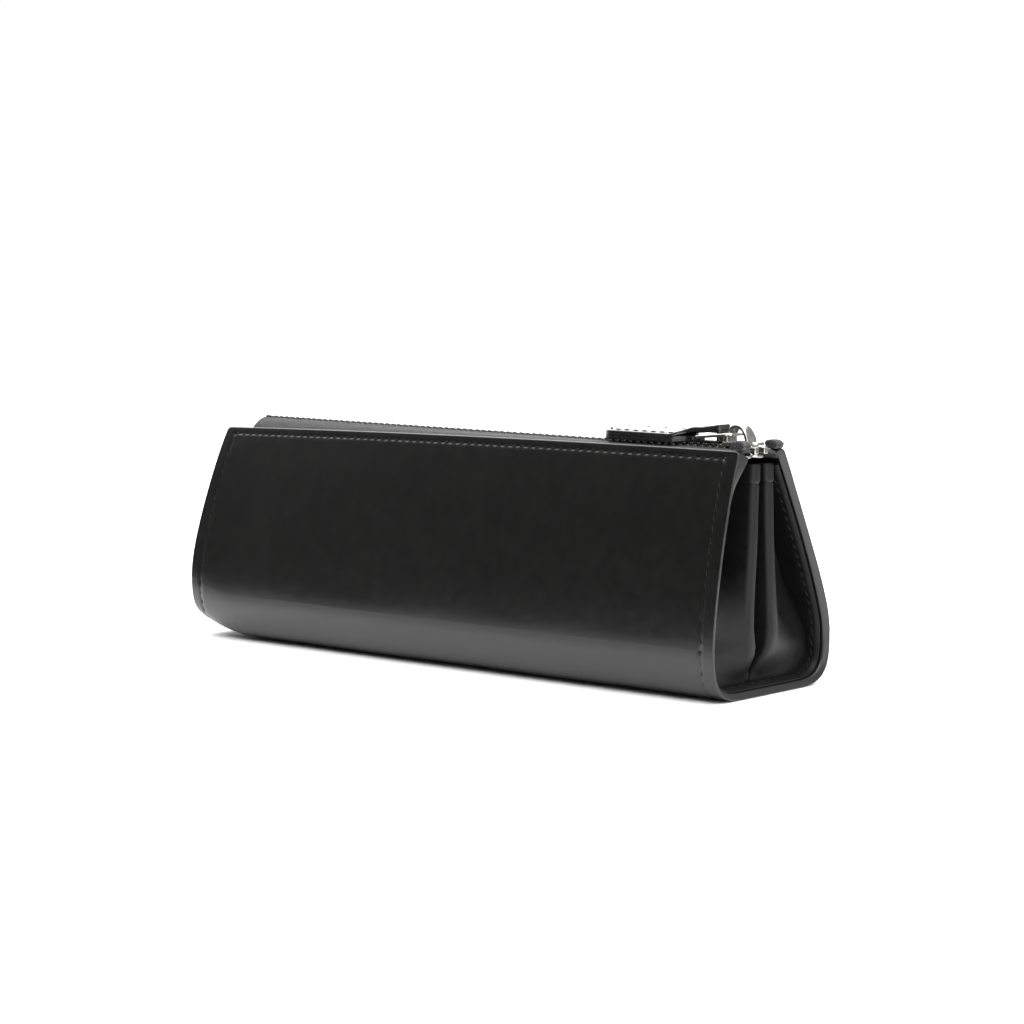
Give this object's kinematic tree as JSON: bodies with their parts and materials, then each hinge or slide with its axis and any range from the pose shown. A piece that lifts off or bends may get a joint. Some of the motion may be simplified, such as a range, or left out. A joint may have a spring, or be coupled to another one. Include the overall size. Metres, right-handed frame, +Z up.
{
  "type": "zipped pen case",
  "caption": "Soft black leather pen case with rounded base, pleated gusset at each end and a metal zip along the top with a leather pull.",
  "frame": {"origin": "under the middle of the case, on the surface that it stands on", "axes": "+X along the case towards the end where the slider rests when closed, -Y towards the front, +Z up"},
  "size_m": [0.2001, 0.0532, 0.0714],
  "materials": {
    "leather": "smooth black leather with a satin gloss",
    "gusset_leather": "thin soft black leather, satin",
    "tab_leather": "glossy black leather with painted edges",
    "lining_cloth": "fine black cloth",
    "zip_tape": "black woven tape",
    "zip_teeth": "polished nickel plate",
    "slider_metal": "polished nickel plate"
  },
  "bodies": {
    "case": {"base_panel": "leather", "base_lining": "lining_cloth", "gusset_right": "gusset_leather", "gusset_left": "gusset_leather", "bottom_stop": "zip_teeth"},
    "front_wall": {"front_panel": "leather", "front_lining": "lining_cloth", "tape_front": "zip_tape", "teeth_front": "zip_teeth", "top_stop_front": "zip_teeth", "tape_tail_front": "zip_tape"},
    "back_wall": {"back_panel": "leather", "back_lining": "lining_cloth", "tape_back": "zip_tape", "teeth_back": "zip_teeth", "top_stop_back": "zip_teeth", "tape_tail_back": "zip_tape"},
    "slider": {"slider_body": "slider_metal", "slider_bridge": "slider_metal"},
    "pull_ring": {"pull_ring": "slider_metal"},
    "pull_tab": {"pull_tab_top": "tab_leather", "pull_tab_core": "tab_leather", "pull_tab_bottom": "tab_leather"}
  },
  "joints": [
    {"name": "front_wall_open", "type": "hinge", "parent": "case", "child": "front_wall", "pos_m": [0, -0.025, 0.014], "axis": [1, 0, 0], "range_deg": [0, 13], "deforming": ["tape_front", "teeth_front"]},
    {"name": "back_wall_open", "type": "hinge", "parent": "case", "child": "back_wall", "pos_m": [0, 0.025, 0.014], "axis": [-1, 0, 0], "range_deg": [0, 13], "deforming": ["tape_back", "teeth_back"]},
    {"name": "slider_slide", "type": "slide", "parent": "case", "child": "slider", "axis": [-0.9996, 0.0275, 0.0103], "range_m": [0, 0.172]},
    {"name": "pull_ring_turn", "type": "hinge", "parent": "slider", "child": "pull_ring", "pos_m": [0.09194, -0.00577, 0.06861], "axis": [0.0275, 0.9996, 0], "range_deg": [0, 150]},
    {"name": "pull_tab_turn", "type": "hinge", "parent": "pull_ring", "child": "pull_tab", "pos_m": [0.08039, -0.00545, 0.06758], "axis": [0.0275, 0.9996, 0], "range_deg": [0, 20]}
  ],
  "couplings": [
    {"joint": "front_wall_open", "follows": "slider_slide", "rad_per_m": 1.3141},
    {"joint": "back_wall_open", "follows": "slider_slide", "rad_per_m": 1.3141},
    {"joint": "pull_tab_turn", "follows": "pull_ring_turn", "ratio": 0.133}
  ]
}
